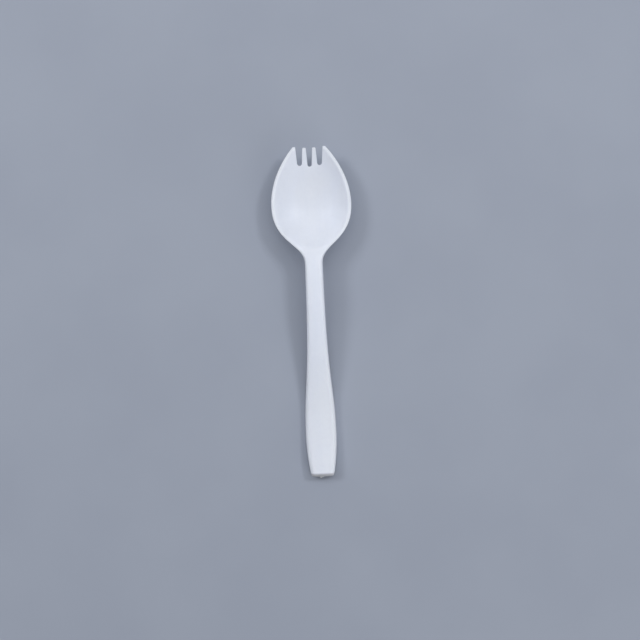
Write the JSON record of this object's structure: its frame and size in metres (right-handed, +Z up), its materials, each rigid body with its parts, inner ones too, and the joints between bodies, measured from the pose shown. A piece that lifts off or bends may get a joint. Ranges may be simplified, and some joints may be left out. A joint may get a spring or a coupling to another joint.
{
  "type": "plastic spork",
  "caption": "White one-piece plastic spork with a dished bowl, short tines and a channelled paddle handle.",
  "frame": {"origin": "on the table, under the middle of the part's bounding box, as it lies with the dish facing up", "axes": "+Y towards the tine tips, +Z up out of the dish, +X to the right when seen from above with the tines pointing away"},
  "size_m": [0.0352, 0.147, 0.0127],
  "materials": {
    "white_plastic": "smooth bluish white polypropylene with a soft sheen, as moulded"
  },
  "bodies": {
    "root": {"spork": "white_plastic"}
  },
  "joints": []
}
